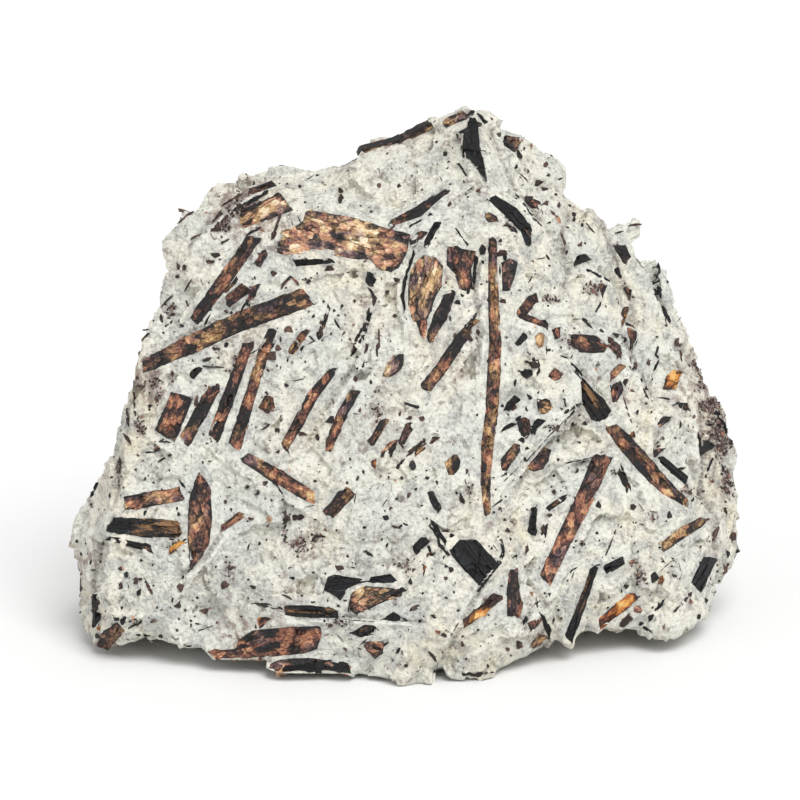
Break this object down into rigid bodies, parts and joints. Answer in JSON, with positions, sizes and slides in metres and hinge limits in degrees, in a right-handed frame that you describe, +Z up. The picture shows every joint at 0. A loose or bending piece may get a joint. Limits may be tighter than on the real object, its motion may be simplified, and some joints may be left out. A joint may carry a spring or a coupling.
{
  "type": "astrophyllite specimen",
  "caption": "Broken hand specimen of off-white feldspar rock with bronze astrophyllite blades, black aegirine and amber crystals; rests on its flat underside.",
  "frame": {"origin": "centre of the specimen's bounding box, at the height of the face it rests on", "axes": "+X along the specimen's length, to the right as seen from its main face; +Y from the main face to the back; +Z up"},
  "size_m": [0.0836, 0.0482, 0.0651],
  "materials": {
    "feldspar_matrix": "sugary off-white crystalline rock, rough, with fine dark specks",
    "astrophyllite": "dark bronze-brown, striated, micaceous sheen",
    "golden_astrophyllite": "copper to gold cleavage faces, pearly sheen",
    "aegirine": "black, glassy on cleavage faces",
    "amber": "orange-brown, glassy"
  },
  "bodies": {
    "root": {"matrix": "feldspar_matrix", "long_left_blade": "astrophyllite", "upper_left_blade": "astrophyllite", "copper_plate": "golden_astrophyllite", "corner_plate": "golden_astrophyllite", "top_edge_blade": "astrophyllite", "fan_plate": "astrophyllite", "fan_blade_outer": "astrophyllite", "fan_blade_middle": "astrophyllite", "fan_blade_inner": "astrophyllite", "ladder_blade": "astrophyllite", "centre_block": "astrophyllite", "left_bar_upper": "astrophyllite", "left_bar_lower": "aegirine", "left_pointed_blade": "astrophyllite", "centre_blade_left": "astrophyllite", "centre_blade_right": "astrophyllite", "golden_plate": "golden_astrophyllite", "dark_side_blade": "astrophyllite", "trapezoid_block": "astrophyllite", "long_upright_blade": "astrophyllite", "upright_side_patch": "golden_astrophyllite", "slanting_blade": "astrophyllite", "gold_chip": "golden_astrophyllite", "angled_pair": "astrophyllite", "mottled_bar": "astrophyllite", "dark_wedge": "aegirine", "lower_right_blade": "astrophyllite", "black_parallel_blade": "aegirine", "right_long_blade": "astrophyllite", "bottom_thin_blade": "aegirine", "bottom_short_blade": "astrophyllite", "bottom_orange_blade": "amber", "right_short_blade": "astrophyllite", "right_edge_plate": "aegirine", "black_block": "aegirine", "black_mass": "aegirine", "lower_gold_plate": "golden_astrophyllite", "bottom_left_bar": "aegirine", "bottom_plate": "astrophyllite", "bottom_foot": "golden_astrophyllite", "orange_black_blade": "amber", "upper_right_blade": "aegirine", "brown_orange_block": "astrophyllite", "orange_crystal": "amber", "apex_gold_plate": "golden_astrophyllite", "back_long_blade": "astrophyllite", "back_copper_plate": "golden_astrophyllite", "back_black_block": "aegirine", "back_slender_blade": "astrophyllite", "back_short_blade": "astrophyllite", "back_low_blade": "astrophyllite", "back_upper_blade": "aegirine", "back_high_plate": "golden_astrophyllite", "left_end_blade": "astrophyllite", "left_end_block": "aegirine", "right_end_blade": "astrophyllite", "top_back_blade": "astrophyllite"}
  },
  "joints": []
}
